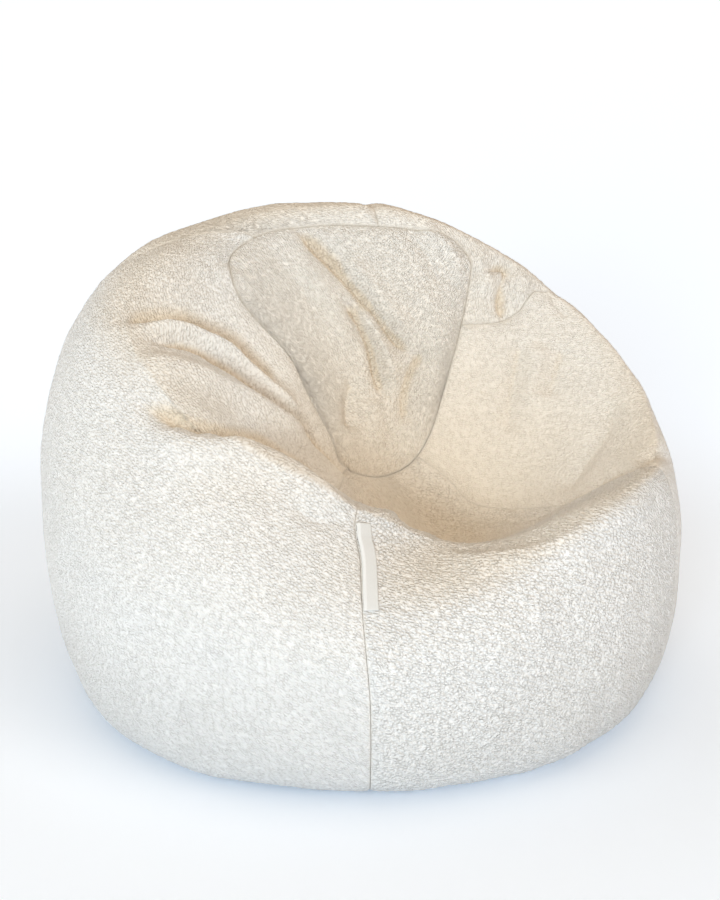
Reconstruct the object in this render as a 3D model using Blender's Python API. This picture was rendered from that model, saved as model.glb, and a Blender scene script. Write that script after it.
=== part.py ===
"""Bean bag pouf: five side panels, a top cap and a base panel round one filled bag, and a bare side label.

Metres, +Z up. The origin is the middle of the base on the floor, and the front faces -Y.
The bag's form is a ring of sections. Each runs from the hollow's lowest point up over the crest,
out to the belly, down to the foot and in to the middle of the base.
Seams and folds that show from the front are laid out on a picture plane, across and up from its middle,
and are carried on to the form along the sight lines from an eye point.
"""

import math

import bmesh
import bpy
import numpy as np
from mathutils import Vector
from mathutils.bvhtree import BVHTree
from mathutils.geometry import tessellate_polygon

# The hollow's lowest point, and the point inside the bag where all the panels' segments meet.
HOLLOW = (0.120, -0.060, 0.240)
HEART = (0.060, 0.040, 0.040)
CORE_SHARE = 0.15

# The eye point: its distance from the point it looks at, that point, and its height angle.
EYE_DISTANCE = 3.15
EYE_TARGET = (0.0, 0.0, 0.364)
EYE_ANGLE = math.radians(20.0)
PICTURE_DROP = 0.0637

# One row for each section, every 30 degrees from the right (+X) round by the back (+Y).
# Columns: crest reach (from the hollow's lowest point), crest height, fullness of the wall between the two
# (1 is an even slope, less is fuller), belly reach, belly height, foot reach.
SECTIONS = (
    (0.310, 0.385, 0.90, 0.478, 0.215, 0.385),
    (0.343, 0.445, 0.85, 0.478, 0.230, 0.385),
    (0.323, 0.562, 0.85, 0.485, 0.260, 0.385),
    (0.290, 0.656, 0.85, 0.490, 0.280, 0.385),
    (0.333, 0.681, 0.80, 0.490, 0.290, 0.385),
    (0.427, 0.653, 0.65, 0.487, 0.310, 0.385),
    (0.450, 0.570, 0.60, 0.473, 0.320, 0.385),
    (0.357, 0.470, 0.65, 0.464, 0.270, 0.382),
    (0.272, 0.395, 0.75, 0.456, 0.230, 0.375),
    (0.220, 0.330, 0.90, 0.450, 0.200, 0.358),
    (0.247, 0.350, 0.95, 0.458, 0.200, 0.370),
    (0.293, 0.388, 0.95, 0.472, 0.205, 0.385),
)
FORM_TURNS = 240
FORM_STEPS = (44, 44, 30, 14)
WALL_ROUNDING = 1.5
SHOULDER_FULLNESS = 0.92
SIDE_FULLNESS = 0.90

# Points on the form. A seen row is (across, up) on the picture plane. A round row is (turn in degrees, level),
# with level 0 at the hollow's lowest point, 1 at the crest, 2 at the belly, 3 at the foot and 4 in the middle
# of the base.
CAP_SEAM = (
    ("seen", -0.157, 0.382), ("seen", -0.188, 0.357), ("seen", -0.192, 0.330), ("seen", -0.181, 0.300),
    ("seen", -0.148, 0.259), ("seen", -0.099, 0.206), ("seen", -0.074, 0.152), ("seen", -0.041, 0.093),
    ("seen", -0.015, 0.046), ("seen", 0.022, 0.028), ("seen", 0.071, 0.041), ("seen", 0.104, 0.087),
    ("seen", 0.127, 0.158), ("seen", 0.149, 0.237), ("seen", 0.162, 0.300), ("seen", 0.163, 0.345),
    ("seen", 0.140, 0.378), ("seen", 0.090, 0.392), ("seen", 0.027, 0.398), ("seen", -0.050, 0.400),
    ("seen", -0.112, 0.395),
)
CAP_SEAM_POINTS = 241
# Each seam starts on the cap seam, nearest to a seen point.
SEAMS = {
    "front": {"start": (-0.013, 0.042), "rows": (("seen", -0.006, -0.022), ("seen", 0.003, -0.098),
              ("seen", 0.006, -0.176), ("seen", 0.010, -0.250), ("seen", 0.016, -0.330),
              ("round", 272.0, 2.90))},
    "seat": {"start": (0.086, 0.056), "rows": (("seen", 0.129, 0.024), ("seen", 0.185, -0.019),
             ("round", 350.0, 0.80), ("round", 348.0, 1.20), ("round", 346.0, 1.60), ("round", 344.0, 2.00),
             ("round", 342.0, 2.90))},
    "right": {"start": (0.153, 0.252), "rows": (("seen", 0.205, 0.254), ("seen", 0.238, 0.272),
              ("seen", 0.266, 0.300), ("round", 46.0, 1.40), ("round", 44.0, 2.00), ("round", 42.0, 2.90))},
    "back": {"start": (0.027, 0.398), "rows": (("seen", 0.022, 0.420), ("round", 104.0, 1.20),
             ("round", 106.0, 2.00), ("round", 108.0, 2.90))},
    "upper_left": {"start": (-0.157, 0.382), "rows": (("seen", -0.190, 0.390), ("round", 158.0, 1.20),
                   ("round", 168.0, 2.00), ("round", 172.0, 2.90))},
}
BASE_SEAM_LEVEL = 3.12
BASE_SEAM_POINTS = 121
CURVE_STEPS = 12

# Side panels, each from its seam on one side to its seam on the other, and its count of columns.
PANELS = {
    "left_panel": ("upper_left", "front", 34),
    "front_right_panel": ("front", "seat", 24),
    "right_panel": ("seat", "right", 16),
    "back_right_panel": ("right", "back", 12),
    "back_left_panel": ("back", "upper_left", 12),
}
PANEL_ROWS = 42
CAP_RINGS = 10
CAP_MIDDLE = (-0.010, 0.240)
RELAX_ROUNDS = 40
EDGE_SHARE = 0.35

# How far inside its seam the base panel lies flat.
BASE_EDGE = 0.020

SEAM_DEPTH = 0.0045
SEAM_WIDTH = 0.013
HALF_GAP = 0.00018

LABEL_ACROSS = 0.004
LABEL_START = -0.048
LABEL_END = -0.166
LABEL_WIDTH = 0.020
LABEL_THICK = 0.0016
LABEL_CLEAR = 0.0006
LABEL_INSET = 0.0020
LABEL_REACH = 0.0200
LABEL_STATIONS = 16
LABEL_COLUMNS = 4
LABEL_EASE = 5

# Folds, one row each: depth (minus is a trough), half width, and the line it follows on the picture plane.
FOLDS = (
    (-0.030, 0.024, ((-0.360, 0.150), (-0.290, 0.136), (-0.225, 0.116), (-0.160, 0.104), (-0.110, 0.082),
                     (-0.066, 0.050), (-0.030, 0.022), (0.004, 0.000))),
    (0.014, 0.040, ((-0.300, 0.088), (-0.225, 0.062), (-0.160, 0.050), (-0.104, 0.026), (-0.060, -0.008),
                    (-0.010, -0.044))),
    (0.010, 0.020, ((-0.020, -0.020), (0.030, -0.036), (0.070, -0.050), (0.104, -0.072))),
    (0.008, 0.022, ((-0.034, 0.070), (0.000, 0.030), (0.022, 0.004), (0.059, -0.033))),
    (0.012, 0.040, ((-0.350, 0.190), (-0.280, 0.176), (-0.200, 0.148), (-0.130, 0.112), (-0.080, 0.072))),
    (-0.016, 0.021, ((-0.355, 0.232), (-0.302, 0.229), (-0.249, 0.218), (-0.213, 0.200), (-0.178, 0.179),
                     (-0.142, 0.146), (-0.107, 0.123), (-0.071, 0.093))),
    (0.010, 0.026, ((-0.360, 0.256), (-0.300, 0.262), (-0.250, 0.246), (-0.200, 0.220), (-0.160, 0.189),
                    (-0.110, 0.142))),
    (-0.018, 0.021, ((-0.300, 0.276), (-0.256, 0.270), (-0.222, 0.256), (-0.190, 0.238), (-0.160, 0.216),
                     (-0.128, 0.182))),
    (0.008, 0.030, ((-0.320, 0.342), (-0.263, 0.349), (-0.200, 0.318), (-0.165, 0.270))),
    (-0.012, 0.024, ((0.297, -0.010), (0.314, 0.016), (0.324, 0.040), (0.336, 0.065), (0.361, 0.093),
                     (0.376, 0.118), (0.380, 0.140))),
    (-0.007, 0.022, ((0.222, 0.345), (0.217, 0.314), (0.214, 0.271))),
    (-0.006, 0.024, ((0.237, 0.229), (0.229, 0.179), (0.222, 0.126), (0.234, 0.090))),
    (-0.005, 0.022, ((0.287, 0.200), (0.284, 0.170), (0.280, 0.140))),
    (-0.013, 0.019, ((-0.098, 0.392), (-0.080, 0.374), (-0.059, 0.354), (-0.030, 0.330), (-0.006, 0.303),
                     (0.015, 0.280), (0.036, 0.253), (0.059, 0.221), (0.080, 0.190))),
    (0.009, 0.026, ((-0.060, 0.392), (-0.020, 0.362), (0.020, 0.322), (0.050, 0.282), (0.080, 0.242))),
    (-0.009, 0.019, ((0.083, 0.212), (0.086, 0.188), (0.074, 0.165), (0.068, 0.150), (0.074, 0.120),
                     (0.077, 0.093))),
    (-0.008, 0.019, ((-0.004, 0.268), (0.012, 0.215), (0.021, 0.176), (0.030, 0.152), (0.041, 0.122))),
    (0.005, 0.022, ((0.016, 0.280), (0.036, 0.230), (0.048, 0.180), (0.060, 0.130))),
    (-0.005, 0.019, ((-0.030, 0.210), (-0.018, 0.150), (-0.012, 0.085))),
    (0.006, 0.024, ((0.060, 0.375), (0.092, 0.360), (0.118, 0.335), (0.126, 0.290))),
)
# The last stretch at each end of a fold, where it dies away, as a share of the fold.
FOLD_FADE = 0.22
FOLD_POINTS = 16
SHARP_ANGLE = math.radians(50.0)

WOOL_COLOUR = (0.78, 0.74, 0.68, 1.0)
TAPE_COLOUR = (0.82, 0.81, 0.78, 1.0)


def spline_round(values, turns):
    """The smooth closed curve through evenly spaced values, read at each turn in degrees."""
    count = len(values)
    values = np.asarray(values, float)
    step = np.eye(count)
    system = (np.roll(step, 1, 1) + 4.0 * step + np.roll(step, -1, 1)) / 6.0
    bend = np.linalg.solve(system, np.roll(values, 1) - 2.0 * values + np.roll(values, -1))
    place = (np.asarray(turns, float) % 360.0) / 360.0 * count
    low = np.floor(place).astype(int) % count
    high = (low + 1) % count
    part = place - np.floor(place)
    rest = 1.0 - part
    return (rest * values[low] + part * values[high]
            + ((rest ** 3 - rest) * bend[low] + (part ** 3 - part) * bend[high]) / 6.0)


def form_points(turns, levels):
    """Points of the bag's form for arrays of turns in degrees and of levels from 0 to 4."""
    crest_reach, crest_height, fullness, belly_reach, belly_height, foot_reach = (
        spline_round(column, turns) for column in zip(*SECTIONS))
    way = np.stack((np.cos(np.radians(turns)), np.sin(np.radians(turns))), -1)
    crest = np.array(HOLLOW[:2]) + way * crest_reach[..., None]
    belly = way * belly_reach[..., None]
    foot = way * foot_reach[..., None]
    plan = np.zeros(way.shape)
    height = np.zeros(crest_height.shape)

    part = np.clip(levels, 0.0, 1.0)
    plan += np.array(HOLLOW[:2]) + (crest - np.array(HOLLOW[:2])) * part[..., None]
    rise = 1.0 - (1.0 - part ** (2.0 * fullness)) ** WALL_ROUNDING
    height += HOLLOW[2] + (crest_height - HOLLOW[2]) * rise

    part = np.clip(levels - 1.0, 0.0, 1.0) * math.pi / 2
    plan += (belly - crest) * (np.sin(part) ** SHOULDER_FULLNESS)[..., None]
    height += (belly_height - crest_height) * (1.0 - np.cos(part) ** SHOULDER_FULLNESS)

    part = np.clip(levels - 2.0, 0.0, 1.0) * math.pi / 2
    plan += (foot - belly) * (1.0 - np.cos(part) ** SIDE_FULLNESS)[..., None]
    height -= belly_height * np.sin(part) ** SIDE_FULLNESS

    part = np.clip(levels - 3.0, 0.0, 1.0)
    plan -= foot * part[..., None]
    return np.concatenate((plan, height[..., None]), -1)


def level_steps():
    """Levels from the hollow's lowest point to the middle of the base."""
    spans = [k + np.linspace(0.0, 1.0, steps, endpoint=False) for k, steps in enumerate(FORM_STEPS)]
    return np.concatenate(spans + [[4.0]])


def form_grid():
    """The form's points and outward directions, a row for each level and a column for each turn."""
    turns = np.arange(FORM_TURNS) * 360.0 / FORM_TURNS
    points = form_points(*np.meshgrid(turns, level_steps()))
    along = np.roll(points, -1, 1) - np.roll(points, 1, 1)
    out = np.cross(np.gradient(points, axis=0), along)
    out[0] = (0.0, 0.0, 1.0)
    out[-1] = (0.0, 0.0, -1.0)
    return points, unit(out)


def unit(vectors):
    return vectors / np.maximum(np.linalg.norm(vectors, axis=-1, keepdims=True), 1e-12)


def form_tree(points):
    """The form as a closed surface, to cast sight lines on and to find near points on."""
    rows, columns = points.shape[:2]
    index = np.arange(rows * columns).reshape(rows, columns)
    beside = np.roll(index, -1, 1)
    faces = np.stack((index[:-1], index[1:], beside[1:], beside[:-1]), -1).reshape(-1, 4)
    return BVHTree.FromPolygons(points.reshape(-1, 3).tolist(), faces.tolist())


FORM, FORM_OUT = form_grid()
TREE = form_tree(FORM)


def seen_point(across, up):
    """The point of the form that the eye sees behind a point of the picture plane."""
    back = EYE_DISTANCE * math.cos(EYE_ANGLE)
    eye = Vector(EYE_TARGET) + Vector((0.0, -back, EYE_DISTANCE * math.sin(EYE_ANGLE)))
    rise = up - PICTURE_DROP
    target = Vector(EYE_TARGET) + Vector((across, rise * math.sin(EYE_ANGLE), rise * math.cos(EYE_ANGLE)))
    hit = TREE.ray_cast(eye, (target - eye).normalized())[0]
    return np.array(hit if hit is not None else TREE.find_nearest(target)[0])


def row_point(row):
    kind, first, second = row
    if kind == "seen":
        return seen_point(first, second)
    return form_points(np.array([first]), np.array([second]))[0]


def curve_through(points, count, closed=False):
    """Evenly spaced points of a smooth curve through the given ones."""
    points = np.asarray(points, float)
    total = len(points)
    fine = []
    for i in range(total if closed else total - 1):
        a, b, c, d = (points[(i + k) % total] if closed else points[min(max(i + k, 0), total - 1)]
                      for k in (-1, 0, 1, 2))
        for t in np.linspace(0.0, 1.0, CURVE_STEPS, endpoint=False):
            fine.append(0.5 * (2 * b + (c - a) * t + (2 * a - 5 * b + 4 * c - d) * t ** 2
                               + (3 * b - a - 3 * c + d) * t ** 3))
    fine.append(points[0] if closed else points[-1])
    return spaced(np.array(fine), count)


def spaced(line, count):
    """The line again, as count evenly spaced points from its first to its last."""
    way = np.concatenate(([0.0], np.cumsum(np.linalg.norm(np.diff(line, axis=0), axis=1))))
    places = np.linspace(0.0, way[-1], count)
    return np.stack([np.interp(places, way, line[:, k]) for k in range(3)], -1)


def on_form(points):
    """The nearest points of the form, and its smooth outward directions there."""
    flat = points.reshape(-1, 3)
    found = [TREE.find_nearest(p) for p in flat.tolist()]
    near = np.array([f[0] for f in found])
    row, column = np.divmod(np.array([f[2] for f in found]), FORM_TURNS)
    beside = (column + 1) % FORM_TURNS
    corner = FORM[row, column]
    down = FORM[row + 1, column] - corner
    across = (FORM[row, beside] + FORM[row + 1, beside]) / 2 - corner - down / 2
    away = near - corner
    dd, aa, da = (np.einsum("ij,ij->i", u, v) for u, v in ((down, down), (across, across), (down, across)))
    d, a = (np.einsum("ij,ij->i", away, u) for u in (down, across))
    room = np.maximum(dd * aa - da * da, 1e-18)
    v = np.clip((d * aa - a * da) / room, 0.0, 1.0)[:, None]
    u = np.clip((a * dd - d * da) / room, 0.0, 1.0)[:, None]
    out = unit((1 - v) * ((1 - u) * FORM_OUT[row, column] + u * FORM_OUT[row, beside])
               + v * ((1 - u) * FORM_OUT[row + 1, column] + u * FORM_OUT[row + 1, beside]))
    return near.reshape(points.shape), out.reshape(points.shape)


def through_form(directions):
    """Where lines from the bag's heart leave the form."""
    heart = Vector(HEART)
    hits = [TREE.ray_cast(heart, Vector(d))[0] for d in directions.reshape(-1, 3).tolist()]
    return np.array(hits).reshape(directions.shape)


def line_place(points, line):
    """Each point's distance from a line of points, and its place along it from 0 to 1."""
    starts, steps = line[:-1], np.diff(line, axis=0)
    lengths = np.linalg.norm(steps, axis=1)
    before = np.concatenate(([0.0], np.cumsum(lengths)[:-1]))
    best = np.full(len(points), np.inf)
    place = np.zeros(len(points))
    for start, step, length, so_far in zip(starts, steps, lengths, before):
        share = np.clip((points - start) @ step / length ** 2, 0.0, 1.0)
        gap = np.linalg.norm(points - start - share[:, None] * step, axis=1)
        nearer = gap < best
        best[nearer] = gap[nearer]
        place[nearer] = (so_far + share * length)[nearer]
    return best, place / lengths.sum()


def eased(share):
    share = np.clip(share, 0.0, 1.0)
    return share * share * (3.0 - 2.0 * share)


FOLD_LINES = [(depth, width, on_form(curve_through([seen_point(*p) for p in line], FOLD_POINTS))[0])
              for depth, width, line in FOLDS]


def seam_lines():
    """The cap seam, as a round from where the upper left seam starts, and the side seams with their starts."""
    cap = on_form(curve_through([row_point(row) for row in CAP_SEAM], CAP_SEAM_POINTS, True))[0]
    lines, starts = {}, {}
    for name, seam in SEAMS.items():
        starts[name] = int(np.argmin(np.linalg.norm(cap[:-1] - seen_point(*seam["start"]), axis=1)))
        start = cap[starts[name]]
        rows = [row_point(row) for row in seam["rows"]]
        turn = math.degrees(math.atan2(rows[-1][1], rows[-1][0]))
        end = form_points(np.array([turn]), np.array([BASE_SEAM_LEVEL]))[0]
        lines[name] = on_form(curve_through([start, *rows, end], PANEL_ROWS + 1))[0]
        lines[name][0] = start
        lines[name][-1] = end
    return cap, lines, starts


CAP_LINE, SEAM_LINES, SEAM_STARTS = seam_lines()
BASE_LINE = form_points(np.linspace(0.0, 360.0, BASE_SEAM_POINTS), np.full(BASE_SEAM_POINTS, BASE_SEAM_LEVEL))


def base_line(start, end, count):
    """The base seam from one side seam's foot round to the next one's, the way that turns grow."""
    first, last = (math.degrees(math.atan2(p[1], p[0])) for p in (start, end))
    turns = first + np.linspace(0.0, (last - first) % 360.0, count)
    return form_points(turns, np.full(count, BASE_SEAM_LEVEL))


def dressed(points):
    """Points of the form with their folds and the drawn-in seams."""
    flat = points.reshape(-1, 3)
    near, out = on_form(flat)
    lift = np.zeros(len(flat))
    for depth, width, line in FOLD_LINES:
        gap, place = line_place(near, line)
        fade = eased(place / FOLD_FADE) * eased((1.0 - place) / FOLD_FADE)
        lift += depth * fade * np.exp(-(gap / width) ** 2)
    seam_gap = np.full(len(flat), np.inf)
    for line in (CAP_LINE, BASE_LINE, *SEAM_LINES.values()):
        seam_gap = np.minimum(seam_gap, line_place(near, line)[0])
    lift -= SEAM_DEPTH * np.exp(-(seam_gap / SEAM_WIDTH) ** 2)
    moved = near + out * lift[:, None]
    moved[:, 2] = np.maximum(moved[:, 2], 0.0)
    return moved.reshape(points.shape)


def blended_grid(left, right, top, bottom):
    """A grid on the form between four border lines that meet at their ends."""
    heart = np.array(HEART)
    ways = [unit(line - heart) for line in (left, right, top, bottom)]
    t = np.linspace(0.0, 1.0, len(left))[:, None, None]
    s = np.linspace(0.0, 1.0, len(top))[None, :, None]
    sides = (1 - s) * ways[0][:, None] + s * ways[1][:, None]
    ends = (1 - t) * ways[2][None] + t * ways[3][None]
    corners = ((1 - s) * (1 - t) * ways[2][0] + s * (1 - t) * ways[2][-1]
               + (1 - s) * t * ways[3][0] + s * t * ways[3][-1])
    grid = through_form(sides + ends - corners)
    grid[:, 0], grid[:, -1], grid[0], grid[-1] = left, right, top, bottom
    return grid


def relaxed(grid):
    """The grid evened out over the form. Its border stays."""
    for _ in range(RELAX_ROUNDS):
        inner = (grid[:-2, 1:-1] + grid[2:, 1:-1] + grid[1:-1, :-2] + grid[1:-1, 2:]) / 4
        grid[1:-1, 1:-1] = on_form(inner)[0]
    return grid


def edged(grid):
    """The grid with one more line of points close inside each border, where the seam draws it in."""
    rows = [grid[:1], grid[:1] + (grid[1:2] - grid[:1]) * EDGE_SHARE, grid[1:-1],
            grid[-1:] + (grid[-2:-1] - grid[-1:]) * EDGE_SHARE, grid[-1:]]
    grid = np.concatenate(rows, 0)
    columns = [grid[:, :1], grid[:, :1] + (grid[:, 1:2] - grid[:, :1]) * EDGE_SHARE, grid[:, 1:-1],
               grid[:, -1:] + (grid[:, -2:-1] - grid[:, -1:]) * EDGE_SHARE, grid[:, -1:]]
    return np.concatenate(columns, 1)


def cap_grid(ring):
    """Rings on the form from the cap seam in to the cap's middle, which comes second."""
    heart = np.array(HEART)
    middle = seen_point(*CAP_MIDDLE)
    share = (np.arange(CAP_RINGS) / CAP_RINGS)[:, None, None]
    grid = through_form((1 - share) * unit(ring - heart)[None] + share * unit(middle - heart))
    grid[0] = ring
    for _ in range(RELAX_ROUNDS // 4):
        inward = np.concatenate((grid[2:], np.broadcast_to(middle, grid[:1].shape)))
        grid[1:] = on_form((grid[:-1] + inward + np.roll(grid[1:], 1, 1) + np.roll(grid[1:], -1, 1)) / 4)[0]
    first = grid[:1] + (grid[1:2] - grid[:1]) * EDGE_SHARE
    return np.concatenate((grid[:1], first, grid[1:])), middle


def drawn_apart(loop):
    """How far each point of a border moves into its own panel, to leave the gap along its seams."""
    edges = np.roll(loop, -1, 0) - loop
    after = unit(np.cross(loop - np.array(HEART), edges))
    before = np.roll(after, 1, 0)
    return (after + before) / (1.0 + np.einsum("ij,ij->i", after, before))[:, None] * HALF_GAP


def segment(name, points, faces, loop, middle):
    """A filled segment of the bag: its skin, walls along the seams in to the core, and the core's end."""
    heart = np.array(HEART)
    points = np.array(points)
    border = points[loop]
    apart = drawn_apart(border)
    core = heart + (border - heart) * CORE_SHARE + apart
    points[loop] = border + apart
    count, ring = len(points), len(loop)
    for k in range(ring):
        after = (k + 1) % ring
        faces.append((loop[after], loop[k], count + k, count + after))
    faces += [tuple(count + k for k in face) for face in core_end(border - heart, middle - heart)]
    return cloth_object(name, np.concatenate((points, core)), faces, "wool", WOOL_COLOUR)


def core_end(ways, middle):
    """Triangles between the loop's points as the heart sees them, facing the heart."""
    middle = unit(middle)
    least = np.eye(3)[np.argmin(np.abs(middle))]
    level = unit(np.cross(middle, least))
    upright = np.cross(middle, level)
    flat = np.stack((ways @ level, ways @ upright), -1) / (ways @ middle)[:, None]
    faces = []
    for a, b, c in tessellate_polygon([[Vector((x, y, 0.0)) for x, y in flat]]):
        turn = np.cross(flat[b] - flat[a], flat[c] - flat[a])
        faces.append((a, c, b) if turn > 0 else (a, b, c))
    return faces


def cloth_object(name, points, faces, finish, colour):
    mesh = bpy.data.meshes.new(name)
    mesh.from_pydata(points.tolist(), [], faces)
    mesh.update()
    shape = bmesh.new()
    shape.from_mesh(mesh)
    bmesh.ops.triangulate(shape, faces=shape.faces[:])
    shape.to_mesh(mesh)
    shape.free()
    mesh.shade_smooth()
    mesh.set_sharp_from_angle(angle=SHARP_ANGLE)
    mesh.materials.append(cloth_material(finish, colour))
    made = bpy.data.objects.new(name, mesh)
    bpy.data.collections["bean_bag_pouf"].objects.link(made)
    return made


def cloth_material(finish, colour):
    material = bpy.data.materials.get(finish) or bpy.data.materials.new(finish)
    material.use_nodes = True
    surface = material.node_tree.nodes["Principled BSDF"]
    surface.inputs["Base Color"].default_value = colour
    surface.inputs["Roughness"].default_value = 0.95
    surface.inputs["Metallic"].default_value = 0.0
    return material


def grid_faces(rows, columns):
    """Faces of a grid of points, a tuple of four for each cell."""
    index = np.arange(rows * columns).reshape(rows, columns)
    cells = np.stack((index[:-1, :-1], index[1:, :-1], index[1:, 1:], index[:-1, 1:]), -1)
    return [tuple(cell) for cell in cells.reshape(-1, 4).tolist()]


def grid_border(rows, columns):
    """The grid's border points in turn: down the first column, along the foot, up the last and back."""
    index = np.arange(rows * columns).reshape(rows, columns)
    sides = (index[:-1, 0], index[-1, :-1], index[:0:-1, -1], index[0, :0:-1])
    return np.concatenate(sides).tolist()


def side_panel(name):
    """One side panel. It returns its object and its end lines, on the cap seam and on the base seam."""
    first, last, columns = PANELS[name]
    left, right = SEAM_LINES[first], SEAM_LINES[last]
    start, stop = SEAM_STARTS[first], SEAM_STARTS[last] or len(CAP_LINE) - 1
    top = on_form(spaced(CAP_LINE[start:stop + 1], columns + 1))[0]
    top[0], top[-1] = left[0], right[0]
    bottom = base_line(left[-1], right[-1], columns + 1)
    grid = edged(relaxed(blended_grid(left, right, top, bottom)))
    rows, columns = grid.shape[:2]
    skin = dressed(grid)
    points = skin.reshape(-1, 3)
    middle = skin[rows // 2, columns // 2]
    made = segment(name, points, grid_faces(rows, columns), grid_border(rows, columns), middle)
    return made, grid[0], grid[-1]


def ring_faces(rows, around):
    """Faces between closed rings of points, from the outer ring in."""
    index = np.arange(rows * around).reshape(rows, around)
    beside = np.roll(index, -1, 1)
    cells = np.stack((index[:-1], beside[:-1], beside[1:], index[1:]), -1)
    return [tuple(cell) for cell in cells.reshape(-1, 4).tolist()]


def top_cap(ring):
    """The cap: rings inside its seam, closed at its middle."""
    grid, middle = cap_grid(ring)
    rows, around = grid.shape[:2]
    skin = dressed(np.concatenate((grid.reshape(-1, 3), [middle])))
    faces = ring_faces(rows, around)
    last = (rows - 1) * around
    faces += [(last + k, last + (k + 1) % around, rows * around) for k in range(around)]
    return segment("top_cap", skin, faces, list(range(around)), skin[-1])


def base_panel(ring):
    """The base: flat on the floor inside its drawn-in seam."""
    inner = ring * (1.0 - BASE_EDGE / np.linalg.norm(ring[:, :2], axis=1))[:, None]
    skin = dressed(np.concatenate((ring, inner)))
    skin[len(ring):, 2] = 0.0
    around = len(ring)
    points = np.concatenate((skin, [(0.0, 0.0, 0.0)]))
    faces = ring_faces(2, around)
    faces += [(around + k, around + (k + 1) % around, 2 * around) for k in range(around)]
    loop = list(range(around))[::-1]
    below_heart = np.array((*HEART[:2], 0.0))
    return segment("base_panel", points, [face[::-1] for face in faces], loop, below_heart)


def side_label(panel):
    """The bare tape: one long edge along the front seam, the rest just clear of the panel on its right."""
    cloth = BVHTree.FromPolygons([v.co[:] for v in panel.data.vertices],
                                 [face.vertices[:] for face in panel.data.polygons])
    seam = SEAM_LINES["front"]
    ends = [np.argmin(np.linalg.norm(seam - seen_point(LABEL_ACROSS, up), axis=1))
            for up in (LABEL_START, LABEL_END)]
    line = spaced(seam[ends[0]:ends[1] + 1], LABEL_STATIONS)
    side = unit(np.cross(on_form(line)[1], np.gradient(line, axis=0)))
    shares = np.linspace(0.0, 1.0, LABEL_COLUMNS)[:, None, None]
    near, out = on_form(line[None] + side[None] * (LABEL_INSET + shares * LABEL_WIDTH))
    lift = np.empty(near.shape[:2])
    for place in np.ndindex(lift.shape):
        start = near[place] + out[place] * LABEL_REACH
        lift[place] = LABEL_REACH - cloth.ray_cast(Vector(start), Vector(-out[place]))[3]
    highest = np.pad(lift.max(0), LABEL_EASE // 2, mode="edge")
    level = np.max([highest[k:k + LABEL_STATIONS] for k in range(LABEL_EASE)], axis=0)
    level = np.pad(level, LABEL_EASE // 2, mode="edge")
    level = np.convolve(level, np.full(LABEL_EASE, 1.0 / LABEL_EASE), "valid")
    lift[1:] = np.maximum(lift[1:], level)
    under = near + out * (lift + LABEL_CLEAR)[..., None]
    over = under + out * LABEL_THICK
    count = LABEL_COLUMNS * LABEL_STATIONS
    sheet = grid_faces(LABEL_COLUMNS, LABEL_STATIONS)
    faces = sheet + [tuple(count + k for k in face[::-1]) for face in sheet]
    loop = grid_border(LABEL_COLUMNS, LABEL_STATIONS)
    faces += [(loop[k], loop[k - 1], count + loop[k - 1], count + loop[k]) for k in range(len(loop))]
    points = np.concatenate((under.reshape(-1, 3), over.reshape(-1, 3)))
    return cloth_object("side_label", points, faces, "tape", TAPE_COLOUR)


def build():
    for old in list(bpy.data.objects):
        bpy.data.objects.remove(old)
    bpy.context.scene.collection.children.link(bpy.data.collections.new("bean_bag_pouf"))
    made = {name: side_panel(name) for name in PANELS}
    cap_ring = np.concatenate([made[name][1][:-1] for name in PANELS])
    base_ring = np.concatenate([made[name][2][:-1] for name in PANELS])
    top_cap(cap_ring)
    base_panel(base_ring)
    side_label(made["front_right_panel"][0])


build()
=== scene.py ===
"""The looks of the bean bag pouf: wool panels with folds and nubs, seams, the side tape, light and floor.

Metres, +Z up, the front faces -Y. The bag's form is a ring of sections. Each runs from the hollow's lowest
point up over the crest, out to the belly, down to the foot and in to the middle of the base.
Lines that show from the front are laid out on a picture plane, across and up from its middle, and are carried
on to the form along the sight lines from the camera.
"""

import math

import bpy
import numpy as np
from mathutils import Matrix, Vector
from mathutils.bvhtree import BVHTree
from mathutils.kdtree import KDTree
from mathutils.geometry import tessellate_polygon


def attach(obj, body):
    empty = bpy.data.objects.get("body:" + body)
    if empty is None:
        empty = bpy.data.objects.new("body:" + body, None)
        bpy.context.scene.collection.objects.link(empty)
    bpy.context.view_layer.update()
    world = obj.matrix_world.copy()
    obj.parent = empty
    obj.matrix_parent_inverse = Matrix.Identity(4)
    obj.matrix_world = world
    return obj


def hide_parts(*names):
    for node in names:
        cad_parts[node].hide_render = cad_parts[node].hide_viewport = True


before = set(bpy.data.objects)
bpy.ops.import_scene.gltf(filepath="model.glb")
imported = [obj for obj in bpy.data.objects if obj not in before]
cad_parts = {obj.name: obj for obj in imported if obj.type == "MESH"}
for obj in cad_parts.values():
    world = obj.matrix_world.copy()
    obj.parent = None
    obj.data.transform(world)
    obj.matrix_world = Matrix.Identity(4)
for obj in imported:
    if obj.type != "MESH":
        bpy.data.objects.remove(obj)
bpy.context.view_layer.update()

# The hollow's lowest point, and the point inside the bag where all the panels meet.
HOLLOW = (0.120, -0.060, 0.240)
HEART = (0.060, 0.040, 0.040)
CORE_SHARE = 0.15

# The camera: its distance from the point it looks at, that point, its angle up and its lens in millimetres.
EYE_DISTANCE = 3.15
EYE_TARGET = (0.0, 0.0, 0.364)
EYE_ANGLE = math.radians(20.0)
EYE_LENS = 85.0
PICTURE_DROP = 0.0637

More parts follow.
